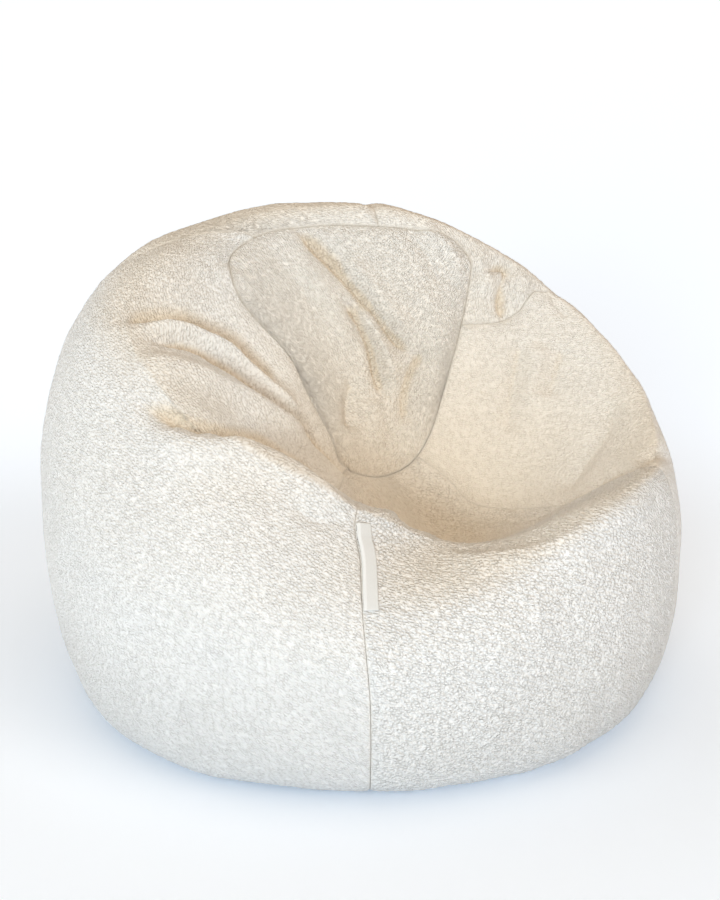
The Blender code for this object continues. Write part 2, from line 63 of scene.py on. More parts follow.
# One row for each section, every 30 degrees from the right (+X) round by the back (+Y).
# Columns: crest reach (from the hollow's lowest point), crest height, fullness of the wall between the two
# (1 is an even slope, less is fuller), belly reach, belly height, foot reach.
SECTIONS = (
    (0.310, 0.385, 0.90, 0.478, 0.215, 0.385),
    (0.343, 0.445, 0.85, 0.478, 0.230, 0.385),
    (0.323, 0.562, 0.85, 0.485, 0.260, 0.385),
    (0.290, 0.656, 0.85, 0.490, 0.280, 0.385),
    (0.333, 0.681, 0.80, 0.490, 0.290, 0.385),
    (0.427, 0.653, 0.65, 0.487, 0.310, 0.385),
    (0.450, 0.570, 0.60, 0.473, 0.320, 0.385),
    (0.357, 0.470, 0.65, 0.464, 0.270, 0.382),
    (0.272, 0.395, 0.75, 0.456, 0.230, 0.375),
    (0.220, 0.330, 0.90, 0.450, 0.200, 0.358),
    (0.247, 0.350, 0.95, 0.458, 0.200, 0.370),
    (0.293, 0.388, 0.95, 0.472, 0.205, 0.385),
)
FORM_TURNS = 480
FORM_STEPS = (88, 88, 60, 28)
WALL_ROUNDING = 1.5
SHOULDER_FULLNESS = 0.92
SIDE_FULLNESS = 0.90

# Points on the form. A seen point is (across, up) on the picture plane, in millimetres. A round point is
# (turn in degrees, level): level 0 is the hollow's lowest point, 1 the crest, 2 the belly, 3 the foot and 4
# the middle of the base.
PER_METRE = 1000
CAP_SEAM = (
    (-157, 382), (-188, 357), (-192, 330), (-181, 300), (-148, 259), (-99, 206), (-74, 152), (-41, 93),
    (-15, 46), (22, 28), (71, 41), (104, 87), (127, 158), (149, 237), (162, 300), (163, 345), (140, 378),
    (90, 392), (27, 398), (-50, 400), (-112, 395),
)
CAP_SEAM_POINTS = 481
# Each side seam starts on the cap seam, nearest to a seen point, and goes on through its seen and then its
# round points.
SEAMS = {
    "front": {"start": (-13, 42), "seen": ((-3, -22), (1, -98), (4, -176), (10, -250), (16, -330)),
              "round": ((272, 2.9),)},
    "seat": {"start": (86, 56), "seen": ((129, 24), (185, -19)),
             "round": ((350, 0.8), (348, 1.2), (346, 1.6), (344, 2.0), (342, 2.9))},
    "right": {"start": (153, 252), "seen": ((205, 254), (238, 272), (266, 300)),
              "round": ((46, 1.4), (44, 2.0), (42, 2.9))},
    "back": {"start": (27, 398), "seen": ((22, 420),), "round": ((104, 1.2), (106, 2.0), (108, 2.9))},
    "upper_left": {"start": (-157, 382), "seen": ((-190, 390),),
                   "round": ((158, 1.2), (168, 2.0), (172, 2.9))},
}
BASE_SEAM_LEVEL = 3.12
BASE_SEAM_POINTS = 181
CURVE_STEPS = 12

# Side panels, each from its seam on one side to its seam on the other. Coarse columns are for the form, fine
# ones for the cloth.
PANELS = {
    "left_panel": ("upper_left", "front", 34, 290),
    "front_right_panel": ("front", "seat", 24, 250),
    "right_panel": ("seat", "right", 16, 190),
    "back_right_panel": ("right", "back", 14, 140),
    "back_left_panel": ("back", "upper_left", 14, 140),
}
COARSE_ROWS = 42
FINE_ROWS = 318
# The cap's corners on its seam, as seen points, with coarse and fine counts across and down.
CAP_CORNERS = ((-180, 370), (-85, 170), (128, 160), (155, 365))
CAP_COARSE = (24, 30)
CAP_FINE = (230, 280)
RELAX_ROUNDS = 40
BASE_EDGE = 0.020
EDGE_RINGS = 3
BASE_RINGS = 14

# How each seam lies. Columns: depth of the draw-in, its half width, depth of the narrow groove in its middle,
# how far the edges are turned in, and how dark the painted shade along it is.
SEAM_LOOKS = {
    "cap": (0.0054, 0.013, 0.0024, 0.0035, 0.75),
    "base": (0.0045, 0.013, 0.0030, 0.0045, 0.40),
    "front": (0.0014, 0.009, 0.0012, 0.0022, 0.38),
    "seat": (0.0010, 0.008, 0.0014, 0.0018, 0.20),
    "right": (0.0018, 0.010, 0.0020, 0.0026, 0.50),
    "back": (0.0030, 0.012, 0.0020, 0.0035, 0.40),
    "upper_left": (0.0018, 0.010, 0.0014, 0.0022, 0.25),
}
LOOK_EASE = 21
GROOVE_WIDTH = 0.0028
HALF_GAP = 0.00016
EDGE_STEP = 0.40
PUCKER_HEIGHT = 0.22
PUCKER_REACH = 0.022
PUCKER_LENGTH = 0.019
PUCKER_DRAW = 5
SEAM_SHADE_REACH = 0.0042

# Folds, one row each, in millimetres: depth (minus is a trough), half width on the side below the line and on
# the side above it, and the line's seen points, from left to right or from the top down.
FOLDS = (
    # The left wall: the main crease behind the front roll, two ledges above it, and the rolls between them.
    (-32, 17, 28, (-358, 144), (-326, 135), (-297, 123), (-269, 108), (-244, 99), (-185, 93), (-133, 80),
     (-104, 62), (-74, 43), (-50, 22), (-27, 3), (3, -15), (36, -31), (68, -50)),
    (-20, 10, 16, (-340, 229), (-287, 226), (-249, 219), (-218, 203), (-182, 184), (-151, 158), (-118, 132),
     (-89, 105), (-62, 81), (-27, 46), (0, 20), (24, -4)),
    (-19, 12, 36, (-379, 247), (-339, 262), (-302, 265), (-262, 262), (-225, 244), (-189, 226), (-163, 203),
     (-136, 178), (-101, 135)),
    (18, 15, 12, (-340, 244), (-274, 244), (-229, 229), (-185, 206), (-145, 173), (-110, 138), (-71, 99)),
    (19, 30, 24, (-348, 185), (-237, 170), (-170, 138), (-111, 102), (-62, 64)),
    (16, 36, 14, (-326, 102), (-237, 74), (-163, 64), (-104, 34), (-47, -1), (-6, -25)),
    (11, 14, 14, (-278, 114), (-242, 96), (-202, 94)),
    (8, 30, 30, (-311, 300), (-259, 342), (-200, 333), (-155, 286)),
    (-5, 10, 14, (-237, 333), (-195, 342), (-166, 321)),
    (-5, 9, 14, (-110, -16), (-74, -36), (-47, -43), (-15, -34)),
    # The front roll, right of the tape.
    (10, 20, 20, (-19, -19), (30, -36), (70, -50), (104, -71)),
    (10, 26, 16, (104, -87), (207, -96), (296, -74), (370, -37), (437, 7)),
    # The right wall: a crease along the rim's foot, and soft upright folds.
    (-14, 11, 18, (231, -49), (287, -19), (339, 9), (374, 30), (414, 44), (462, 53)),
    (-9, 14, 18, (296, -4), (326, 40), (349, 71), (367, 99), (374, 144)),
    (-11, 12, 16, (240, 238), (231, 184), (221, 135), (222, 81)),
    (-10, 12, 14, (302, 223), (287, 176), (278, 138)),
    (10, 18, 18, (266, 226), (258, 179), (249, 126)),
    (-18, 9, 12, (221, 363), (215, 333), (210, 300), (209, 274), (219, 250)),
    (8, 18, 18, (186, 374), (189, 336), (186, 289)),
    (8, 18, 18, (240, 342), (243, 312), (237, 277)),
    (-6, 12, 12, (278, 306), (293, 283), (311, 259)),
    # The cap: two long creases down from the top, dents where they end, and the rolls beside them.
    (-25, 10, 14, (-104, 404), (-64, 364), (-41, 342), (-15, 312), (6, 289), (24, 266), (41, 241),
     (62, 218), (89, 197)),
    (-21, 9, 13, (-30, 292), (-3, 259), (9, 235), (18, 212), (25, 179), (38, 135)),
    (15, 12, 14, (0, 280), (21, 241), (38, 206), (53, 158)),
    (13, 18, 18, (-30, 351), (12, 306), (47, 262), (77, 229)),
    (-17, 10, 14, (101, 218), (77, 185), (68, 158), (65, 132), (67, 96)),
    (-13, 10, 14, (-6, 179), (-15, 138), (-12, 90)),
    (9, 20, 20, (15, 144), (21, 99), (25, 61)),
    (-4, 14, 14, (-154, 389), (-118, 342), (-89, 306), (-56, 259)),
    (7, 18, 18, (-95, 351), (-56, 306), (-30, 259), (-18, 203)),
    (10, 12, 14, (86, 401), (124, 373), (142, 348), (152, 300)),
    (-6, 12, 12, (59, 392), (98, 354), (121, 303)),
    (7, 18, 18, (83, 309), (112, 256), (115, 203)),
)
# The last stretch at each end of a fold, where it dies away, as a share of the fold.
FOLD_FADE = 0.20
FOLD_POINTS = 22
CREASE_POINT = 1.4

# Soft unevenness of the filling: height and size of its lumps, and the waves that a soft noise is made of.
LUMPS = ((0.0016, 0.110), (0.0009, 0.048))
WAVES = 14
WAVE_SPREAD = (0.6, 1.5)

# The tape in the front seam: its ends as seen points, its size, its room over the cloth, and how far out the
# lines start that find the cloth.
LABEL_ENDS = ((4, -48), (4, -166))
LABEL_WIDTH = 0.020
LABEL_THICK = 0.0010
LABEL_CLEAR = 0.0006
LABEL_INSET = 0.0016
LABEL_REACH = 0.030
LABEL_STATIONS = 90
LABEL_COLUMNS = 18
LABEL_EASE = 13
# The share of its width in which the tape rises from the seam, the share that its outer edge rounds off, and
# how thick that edge still is.
LABEL_RISE = 0.25
LABEL_FOLD = 0.06
LABEL_EDGE_THICK = 0.25

# Clusters of boucle nubs as real relief: their size and height, how far their places wander and how long the
# bends of that are in nubs, how softly they meet, and how much of a nub lies under the cloth's level.
NUB_SIZE = 0.0080
NUB_HEIGHT = 0.0012
NUB_WANDER = 0.0050
NUB_BEND = 2.4
NUB_SOFTNESS = 0.45
NUB_LEVEL = 0.55
# The size of the patches in which the nubs are higher or lower.
NUB_PATCH = 0.021
# The yarn of each panel: its nubs' size and height as shares of the usual ones, how much longer than wide
# they are, the turn of their rows in degrees, and how strong the painted warm shade is on its side of the
# hollow.
YARNS = {
    "left_panel": (1.0, 0.85, 1.4, 8.0, 0.0), "front_right_panel": (1.08, 1.10, 1.35, 35.0, 0.0),
    "right_panel": (0.80, 0.62, 1.5, 90.0, 0.38), "back_right_panel": (0.95, 0.8, 1.5, 0.0, 0.35),
    "back_left_panel": (0.95, 0.8, 1.5, 0.0, 0.35), "top_cap": (0.95, 1.0, 1.2, 60.0, 0.28),
    "base_panel": (1.0, 0.5, 1.5, 0.0, 0.0),
}
# How much flatter the nubs lie in the hollow, where people sit, and beside a seam.
SAT_FLAT = 0.50
SEAM_FLAT = 0.7
# How strong the painted warm shade is at the bottom of a fold, and between which depths this grows.
FOLD_SHADE_WARMTH = 1.0
SHALLOW_FOLD = 0.003
DEEP_FOLD = 0.017
# How strong the painted warm shade is where the cloth faces up, and the upward share of its direction from
# which this grows.
UP_SHADE_WARMTH = 0.58
UP_SLOPE = 0.62
# Between which levels the painted warm shade on the hollow's side ends.
HOLLOW_SHADE_LEVELS = (1.0, 1.6)
# The threads across the seams.
STITCH_PITCH = 0.0036
STITCH_LENGTH = 0.0034
THREAD_RADIUS = 0.00040
THREAD_DEPTH = 0.0016


def spline_round(values, turns):
    """The smooth closed curve through evenly spaced values, read at each turn in degrees."""
    count = len(values)
    values = np.asarray(values, float)
    step = np.eye(count)
    system = (np.roll(step, 1, 1) + 4.0 * step + np.roll(step, -1, 1)) / 6.0
    bend = np.linalg.solve(system, np.roll(values, 1) - 2.0 * values + np.roll(values, -1))
    place = (np.asarray(turns, float) % 360.0) / 360.0 * count
    low = np.floor(place).astype(int) % count
    high = (low + 1) % count
    part = place - np.floor(place)
    rest = 1.0 - part
    return (rest * values[low] + part * values[high]
            + ((rest ** 3 - rest) * bend[low] + (part ** 3 - part) * bend[high]) / 6.0)


def form_points(turns, levels):
    """Points of the bag's form for arrays of turns in degrees and of levels from 0 to 4."""
    crest_reach, crest_height, fullness, belly_reach, belly_height, foot_reach = (
        spline_round(column, turns) for column in zip(*SECTIONS))
    way = np.stack((np.cos(np.radians(turns)), np.sin(np.radians(turns))), -1)
    crest = np.array(HOLLOW[:2]) + way * crest_reach[..., None]
    belly = way * belly_reach[..., None]
    foot = way * foot_reach[..., None]
    plan = np.zeros(way.shape)
    height = np.zeros(crest_height.shape)

    part = np.clip(levels, 0.0, 1.0)
    plan += np.array(HOLLOW[:2]) + (crest - np.array(HOLLOW[:2])) * part[..., None]
    rise = 1.0 - (1.0 - part ** (2.0 * fullness)) ** WALL_ROUNDING
    height += HOLLOW[2] + (crest_height - HOLLOW[2]) * rise

    part = np.clip(levels - 1.0, 0.0, 1.0) * math.pi / 2
    plan += (belly - crest) * (np.sin(part) ** SHOULDER_FULLNESS)[..., None]
    height += (belly_height - crest_height) * (1.0 - np.cos(part) ** SHOULDER_FULLNESS)

    part = np.clip(levels - 2.0, 0.0, 1.0) * math.pi / 2
    plan += (foot - belly) * (1.0 - np.cos(part) ** SIDE_FULLNESS)[..., None]
    height -= belly_height * np.sin(part) ** SIDE_FULLNESS

    part = np.clip(levels - 3.0, 0.0, 1.0)
    plan -= foot * part[..., None]
    return np.concatenate((plan, height[..., None]), -1)


def level_steps():
    """Levels from the hollow's lowest point to the middle of the base."""
    spans = [k + np.linspace(0.0, 1.0, steps, endpoint=False) for k, steps in enumerate(FORM_STEPS)]
    return np.concatenate(spans + [[4.0]])


def form_grid():
    """The form's points and outward directions, a row for each level and a column for each turn."""
    turns = np.arange(FORM_TURNS) * 360.0 / FORM_TURNS
    points = form_points(*np.meshgrid(turns, level_steps()))
    along = np.roll(points, -1, 1) - np.roll(points, 1, 1)
    out = np.cross(np.gradient(points, axis=0), along)
    out[0] = (0.0, 0.0, 1.0)
    out[-1] = (0.0, 0.0, -1.0)
    return points, unit(out)


def unit(vectors):
    return vectors / np.maximum(np.linalg.norm(vectors, axis=-1, keepdims=True), 1e-12)


def ring_faces(rows, columns):
    """Faces between closed rings of points."""
    index = np.arange(rows * columns).reshape(rows, columns)
    beside = np.roll(index, -1, 1)
    return np.stack((index[:-1], index[1:], beside[1:], beside[:-1]), -1).reshape(-1, 4).tolist()


def form_tree(points):
    """The form as a closed surface, to cast sight lines on and to find near points on."""
    return BVHTree.FromPolygons(points.reshape(-1, 3).tolist(), ring_faces(*points.shape[:2]))


LEVELS = level_steps()
FORM, FORM_OUT = form_grid()
TREE = form_tree(FORM)


def eye_place():
    back = EYE_DISTANCE * math.cos(EYE_ANGLE)
    return Vector(EYE_TARGET) + Vector((0.0, -back, EYE_DISTANCE * math.sin(EYE_ANGLE)))


def seen_point(across, up):
    """The point of the form that the camera sees behind a point of the picture plane, in metres."""
    eye = eye_place()
    rise = up - PICTURE_DROP
    target = Vector(EYE_TARGET) + Vector((across, rise * math.sin(EYE_ANGLE), rise * math.cos(EYE_ANGLE)))
    hit = TREE.ray_cast(eye, (target - eye).normalized())[0]
    return np.array(hit if hit is not None else TREE.find_nearest(target)[0])


def seen_points(pairs):
    return [seen_point(across / PER_METRE, up / PER_METRE) for across, up in pairs]


def round_point(turn, level):
    return form_points(np.array([turn]), np.array([level]))[0]


def between(a, b, c, d, t):
    """The smooth curve from b to c at shares t of the way, with a before and d after them."""
    return 0.5 * (2 * b + (c - a) * t + (2 * a - 5 * b + 4 * c - d) * t ** 2
                  + (3 * b - a - 3 * c + d) * t ** 3)


def curve_through(points, count, closed=False):
    """Evenly spaced points of a smooth curve through the given ones."""
    points = np.asarray(points, float)
    total = len(points)
    fine = []
    for i in range(total if closed else total - 1):
        knots = [points[(i + k) % total] if closed else points[min(max(i + k, 0), total - 1)]
                 for k in (-1, 0, 1, 2)]
        fine += [between(*knots, t) for t in np.linspace(0.0, 1.0, CURVE_STEPS, endpoint=False)]
    fine.append(points[0] if closed else points[-1])
    return spaced(np.array(fine), count)


def spaced(line, count):
    """The line again, as count evenly spaced points from its first to its last."""
    way = np.concatenate(([0.0], np.cumsum(np.linalg.norm(np.diff(line, axis=0), axis=1))))
    places = np.linspace(0.0, way[-1], count)
    return np.stack([np.interp(places, way, line[:, k]) for k in range(3)], -1)


def on_form(points):
    """The nearest points of the form, its smooth outward directions there and their levels."""
    flat = points.reshape(-1, 3)
    found = [TREE.find_nearest(p) for p in flat.tolist()]
    near = np.array([f[0] for f in found])
    row, column = np.divmod(np.array([f[2] for f in found]), FORM_TURNS)
    beside = (column + 1) % FORM_TURNS
    corner = FORM[row, column]
    down = FORM[row + 1, column] - corner
    across = (FORM[row, beside] + FORM[row + 1, beside]) / 2 - corner - down / 2
    away = near - corner
    dd, aa, da = (np.einsum("ij,ij->i", u, v) for u, v in ((down, down), (across, across), (down, across)))
    d, a = (np.einsum("ij,ij->i", away, u) for u in (down, across))
    room = np.maximum(dd * aa - da * da, 1e-18)
    v = np.clip((d * aa - a * da) / room, 0.0, 1.0)[:, None]
    u = np.clip((a * dd - d * da) / room, 0.0, 1.0)[:, None]
    out = unit((1 - v) * ((1 - u) * FORM_OUT[row, column] + u * FORM_OUT[row, beside])
               + v * ((1 - u) * FORM_OUT[row + 1, column] + u * FORM_OUT[row + 1, beside]))
    levels = LEVELS[row] + v[:, 0] * (LEVELS[row + 1] - LEVELS[row])
    return near.reshape(points.shape), out.reshape(points.shape), levels.reshape(points.shape[:-1])


def through_form(directions):
    """Where lines from the bag's heart leave the form."""
    heart = Vector(HEART)
    hits = [TREE.ray_cast(heart, Vector(d))[0] for d in directions.reshape(-1, 3).tolist()]
    return np.array(hits).reshape(directions.shape)


def line_place(points, line):
    """Each point's distance from a line of points, its place along it in metres, and the nearest stretch."""
    starts, steps = line[:-1], np.diff(line, axis=0)
    lengths = np.linalg.norm(steps, axis=1)
    before = np.concatenate(([0.0], np.cumsum(lengths)[:-1]))
    best = np.full(len(points), np.inf)
    place = np.zeros(len(points))
    stretch = np.zeros(len(points), int)
    for k, (start, step, length) in enumerate(zip(starts, steps, lengths)):
        away = points - start
        share = np.clip(away @ step / length ** 2, 0.0, 1.0)
        away -= share[:, None] * step
        gap = np.einsum("ij,ij->i", away, away)
        nearer = gap < best
        best[nearer] = gap[nearer]
        place[nearer] = (before[k] + share * length)[nearer]
        stretch[nearer] = k
    return np.sqrt(best), place, stretch


def border_place(points, border):
    """Each point's distance from a closed border of points, its place along it and the nearest of them."""
    tree = KDTree(len(border))
    for k, place in enumerate(border.tolist()):
        tree.insert(place, k)
    tree.balance()
    nearest = np.array([tree.find(p)[1] for p in points.tolist()])
    steps = np.roll(border, -1, 0) - border
    lengths = np.linalg.norm(steps, axis=1)
    before = np.concatenate(([0.0], np.cumsum(lengths)[:-1]))
    best = np.full(len(points), np.inf)
    place = np.zeros(len(points))
    for beside in (-1, 0):
        k = (nearest + beside) % len(border)
        away = points - border[k]
        share = np.clip(np.einsum("ij,ij->i", away, steps[k]) / lengths[k] ** 2, 0.0, 1.0)
        gap = np.linalg.norm(away - share[:, None] * steps[k], axis=1)
        nearer = gap < best
        best[nearer] = gap[nearer]
        place[nearer] = (before[k] + share * lengths[k])[nearer]
    return best, place, nearest


def line_length(line):
    return np.linalg.norm(np.diff(line, axis=0), axis=1).sum()


def nearest_place(line, point):
    return int(np.argmin(np.linalg.norm(line - point, axis=1)))


def eased(share):
    share = np.clip(share, 0.0, 1.0)
    return share * share * (3.0 - 2.0 * share)


def grown(values, low, high):
    return eased((values - low) / (high - low))


def soft_noise(points, size, seed):
    """A smooth uneven field from about -1 to 1, with lumps of the given size."""
    draws = np.random.default_rng(seed)
    ways = unit(draws.normal(size=(WAVES, 3))) * draws.uniform(*WAVE_SPREAD, (WAVES, 1)) * math.pi / size
    starts = draws.uniform(0.0, 2.0 * math.pi, WAVES)
    return np.sin(points @ ways.T + starts).sum(-1) / math.sqrt(WAVES)


def fold_lines():
    """Each fold's depth, its two half widths, its line on the form and the way up from each stretch of it."""
    lines = []
    for depth, below, above, *pairs in FOLDS:
        line, out, _ = on_form(curve_through(seen_points(pairs), FOLD_POINTS))
        lines.append((depth / PER_METRE, below / PER_METRE, above / PER_METRE, line,
                      np.cross(out[1:] + out[:-1], np.diff(line, axis=0))))
    return lines


FOLD_LINES = fold_lines()


def seam_lines():
    """The cap seam as a round from where the upper left seam starts, and the side seams with their starts."""
    cap = on_form(curve_through(seen_points(CAP_SEAM), CAP_SEAM_POINTS, True))[0]
    lines, starts = {}, {}
    for name, seam in SEAMS.items():
        starts[name] = nearest_place(cap[:-1], seen_points([seam["start"]])[0])
        start = cap[starts[name]]
        way = seen_points(seam["seen"]) + [round_point(*pair) for pair in seam["round"]]
        end = round_point(math.degrees(math.atan2(way[-1][1], way[-1][0])), BASE_SEAM_LEVEL)
        lines[name] = on_form(curve_through([start, *way, end], COARSE_ROWS + 1))[0]
        lines[name][0] = start
        lines[name][-1] = end
    return cap, lines, starts


CAP_LINE, SEAM_LINES, SEAM_STARTS = seam_lines()
BASE_LINE = form_points(np.linspace(0.0, 360.0, BASE_SEAM_POINTS), np.full(BASE_SEAM_POINTS, BASE_SEAM_LEVEL))


def base_line(start, end, count):
    """The base seam from one side seam's foot round to the next one's, the way that turns grow."""
    first, last = (math.degrees(math.atan2(p[1], p[0])) for p in (start, end))
    turns = first + np.linspace(0.0, (last - first) % 360.0, count)
    return form_points(turns, np.full(count, BASE_SEAM_LEVEL))


def blended_grid(left, right, top, bottom):
    """A grid on the form between four border lines that meet at their ends."""
    heart = np.array(HEART)
    ways = [unit(line - heart) for line in (left, right, top, bottom)]
    t = np.linspace(0.0, 1.0, len(left))[:, None, None]
    s = np.linspace(0.0, 1.0, len(top))[None, :, None]
    sides = (1 - s) * ways[0][:, None] + s * ways[1][:, None]
    ends = (1 - t) * ways[2][None] + t * ways[3][None]
    corners = ((1 - s) * (1 - t) * ways[2][0] + s * (1 - t) * ways[2][-1]
               + (1 - s) * t * ways[3][0] + s * t * ways[3][-1])
    grid = through_form(sides + ends - corners)
    grid[:, 0], grid[:, -1], grid[0], grid[-1] = left, right, top, bottom
    return grid


def relaxed(grid):
    """The grid evened out over the form. Its border stays."""
    for _ in range(RELAX_ROUNDS):
        inner = (grid[:-2, 1:-1] + grid[2:, 1:-1] + grid[1:-1, :-2] + grid[1:-1, 2:]) / 4
        grid[1:-1, 1:-1] = on_form(inner)[0]
    return grid


def finer(grid, count):
    """Smooth curves through the grid's rows, read at count + 1 even steps and once more close to each end."""
    last = len(grid) - 1
    places = np.linspace(0.0, last, count + 1)
    close = EDGE_STEP * places[1]
    places = np.concatenate(([0.0, close], places[1:-1], [last - close, last]))
    low = np.minimum(places.astype(int), last - 1)
    t = (places - low)[:, None, None]
    return between(*(grid[np.clip(low + k, 0, last)] for k in (-1, 0, 1, 2)), t)


def fine_grid(grid, rows, columns):
    return finer(finer(grid, rows).swapaxes(0, 1), columns).swapaxes(0, 1)


def fold_lift(points):
    """How far the folds lift the cloth. A crease is pointed at its bottom, and a roll is round."""
    lift = np.zeros(len(points))
    for depth, below, above, line, up in FOLD_LINES:
        gap, place, stretch = line_place(points, line)
        share = place / line_length(line)
        fade = eased(share / FOLD_FADE) * eased((1.0 - share) / FOLD_FADE)
        higher = np.einsum("ij,ij->i", points - line[stretch], up[stretch]) > 0.0
        width = np.where(higher, above, below)
        lift += depth * fade * np.exp(-(gap / width) ** (CREASE_POINT if depth < 0.0 else 2.0))
    return lift


def seam_looks(names, counts):
    """The looks of a border's points in turn, eased where one seam meets the next."""
    looks = np.concatenate([np.tile(SEAM_LOOKS[name], (count, 1)) for name, count in zip(names, counts)])
    half = LOOK_EASE // 2
    padded = np.concatenate((looks[-half:], looks, looks[:half]))
    window = np.full(LOOK_EASE, 1.0 / LOOK_EASE)
    return np.stack([np.convolve(column, window, "valid") for column in padded.T], -1)


def dressed(points, loop, looks, hollow_side_shade):
    """The cloth on points of the form: folds, drawn-in seams, puckers and lumps.

    It returns its points and outward directions, how full the nap is, how strong the painted warm shade is
    and how dark the painted shade beside a seam is.
    """
    flat = points.reshape(-1, 3)
    near, out, levels = on_form(flat)
    folds = fold_lift(near)
    gap, place, nearest = border_place(near, near[loop])
    depth, width, groove, _, shade = looks[nearest].T
    lift = folds - depth * np.exp(-(gap / width) ** 2) - groove * np.exp(-gap / GROOVE_WIDTH)
    along_seam = np.stack((place, np.zeros(len(flat)), np.zeros(len(flat))), -1)
    puckers = soft_noise(along_seam, PUCKER_LENGTH, PUCKER_DRAW)
    lift += PUCKER_HEIGHT * depth * puckers * np.exp(-gap / PUCKER_REACH) * eased(gap / width)
    for seed, (height, size) in enumerate(LUMPS):
        lift += height * soft_noise(near, size, seed) * eased(gap / width)
    moved = near + out * lift[:, None]
    moved[:, 2] = np.maximum(moved[:, 2], 0.0)
    # How far down in the hollow: it flattens the nap there, as wear, and gives painted warm shade.
    seat_wear_and_shade = eased(1.0 - levels)
    # Near a seam: the nap lies flatter there, and the cloth gets painted shade along the seam's groove.
    beside = 1.0 - eased(gap / SEAM_SHADE_REACH)
    nap = (1.0 - SEAM_FLAT * beside) * (1.0 - SAT_FLAT * seat_wear_and_shade)
    # Painted warm shade at the bottom of deep folds.
    warm_shade = FOLD_SHADE_WARMTH * grown(-folds, SHALLOW_FOLD, DEEP_FOLD)
    # Painted warm shade where the cloth faces up.
    warm_shade = np.maximum(warm_shade, UP_SHADE_WARMTH * grown(out[:, 2], UP_SLOPE, 1.0))
    # Painted warm shade on a panel's side of the hollow, joined with the hollow's own.
    inside = 1.0 - grown(levels, *HOLLOW_SHADE_LEVELS)
    warm_shade = 1.0 - (1.0 - np.maximum(seat_wear_and_shade, warm_shade)) * (1.0 - hollow_side_shade * inside)
    return moved, out, nap, warm_shade, beside * shade


def drawn_apart(loop):
    """How far each point of a border moves into its own panel, to leave the gap along its seams."""
    edges = np.roll(loop, -1, 0) - loop
    after = unit(np.cross(loop - np.array(HEART), edges))
    before = np.roll(after, 1, 0)
    return (after + before) / (1.0 + np.einsum("ij,ij->i", after, before))[:, None] * HALF_GAP


def core_end(ways, middle):
    """Triangles between the loop's points as the heart sees them, facing the heart."""
    middle = unit(middle)
    least = np.eye(3)[np.argmin(np.abs(middle))]
    level = unit(np.cross(middle, least))
    upright = np.cross(middle, level)
    flat = np.stack((ways @ level, ways @ upright), -1) / (ways @ middle)[:, None]
    faces = []
    for a, b, c in tessellate_polygon([[Vector((x, y, 0.0)) for x, y in flat]]):
        turn = np.cross(flat[b] - flat[a], flat[c] - flat[a])
        faces.append((a, c, b) if turn > 0 else (a, b, c))
    return faces


def grid_faces(rows, columns):
    """Faces of a grid of points, a tuple of four for each cell."""
    index = np.arange(rows * columns).reshape(rows, columns)
    cells = np.stack((index[:-1, :-1], index[1:, :-1], index[1:, 1:], index[:-1, 1:]), -1)
    return [tuple(cell) for cell in cells.reshape(-1, 4).tolist()]


def grid_border(rows, columns):
    """The grid's border points in turn: down the first column, along the foot, up the last and back."""
    index = np.arange(rows * columns).reshape(rows, columns)
    sides = (index[:-1, 0], index[-1, :-1], index[:0:-1, -1], index[0, :0:-1])
    return np.concatenate(sides).tolist()


def placed(name, data):
    """An object of the mesh, light or camera, in the scene."""
    made = bpy.data.objects.new(name, data)
    bpy.context.scene.collection.objects.link(made)
    return made


def keep_values(mesh, values):
    """Keeps the named values or vectors on the mesh's points."""
    for key, numbers in values.items():
        kind, field = ("FLOAT", "value") if numbers.ndim == 1 else ("FLOAT_VECTOR", "vector")
        mesh.attributes.new(key, kind, "POINT").data.foreach_set(field, numbers.astype(np.float32).ravel())


def cloth_object(name, points, faces, values):
    """An object of the points and faces, with the named values or vectors kept on its points."""
    mesh = bpy.data.meshes.new(name)
    mesh.from_pydata(points.tolist(), [], faces)
    mesh.shade_smooth()
    keep_values(mesh, values)
    return placed(name, mesh)


def yarn_places(across, down, name):
    """Each point's place among the nubs, from its place on the cloth: across and down, in metres."""
    size, _, length, turn, _ = YARNS[name]
    turn = math.radians(turn)
    along_row = across * math.cos(turn) + down * math.sin(turn)
    over_rows = down * math.cos(turn) - across * math.sin(turn)
    return np.stack((along_row / (size * length), over_rows / size, np.zeros_like(across)), -1).reshape(-1, 3)


def panel_piece(name, grid, places, faces, loop, looks, middle):
    """One filled segment of the bag: the cloth, its turned-in edges, and plain walls in to the core."""
    heart = np.array(HEART)
    points, out, nap, warm_shade, beside = dressed(grid, loop, looks, YARNS[name][4])
    nap *= YARNS[name][1]
    border = points[loop]
    apart = drawn_apart(border)
    points[loop] = border + apart - out[loop] * looks[:, 3:4]
    points[:, 2] = np.maximum(points[:, 2], 0.0)
    core = heart + (border - heart) * CORE_SHARE + apart
    count, ring = len(points), len(loop)
    for k in range(ring):
        after = (k + 1) % ring
        faces.append((loop[after], loop[k], count + k, count + after))
    faces += [tuple(count + k for k in face) for face in core_end(border - heart, points[middle] - heart)]
    nap[loop] = 0.0
    values = {"nap": (nap, np.zeros(ring)), "warm_shade": (warm_shade, np.zeros(ring)), "beside": (beside, beside[loop]),
              "yarn": (places, places[loop])}
    values = {key: np.concatenate(parts) for key, parts in values.items()}
    return cloth_object(name + "_cloth", np.concatenate((points, core)), faces, values)


def grid_piece(name, grid, seams):
    """A panel from its grid and the names of the seams down, along the foot, up and back along the top."""
    rows, columns = grid.shape[:2]
    looks = seam_looks(seams, (rows - 1, columns - 1, rows - 1, columns - 1))
    middle = (rows // 2) * columns + columns // 2
    steps = [np.linalg.norm(np.diff(grid, axis=axis), axis=-1) for axis in (0, 1)]
    down, across = (np.cumsum(np.insert(step, 0, 0.0, axis=axis), axis=axis)
                    for axis, step in enumerate(steps))
    places = yarn_places(across - across[:, columns // 2, None], down - down[rows // 2], name)
    faces, loop = grid_faces(rows, columns), grid_border(rows, columns)
    return panel_piece(name, grid, places, faces, loop, looks, middle)


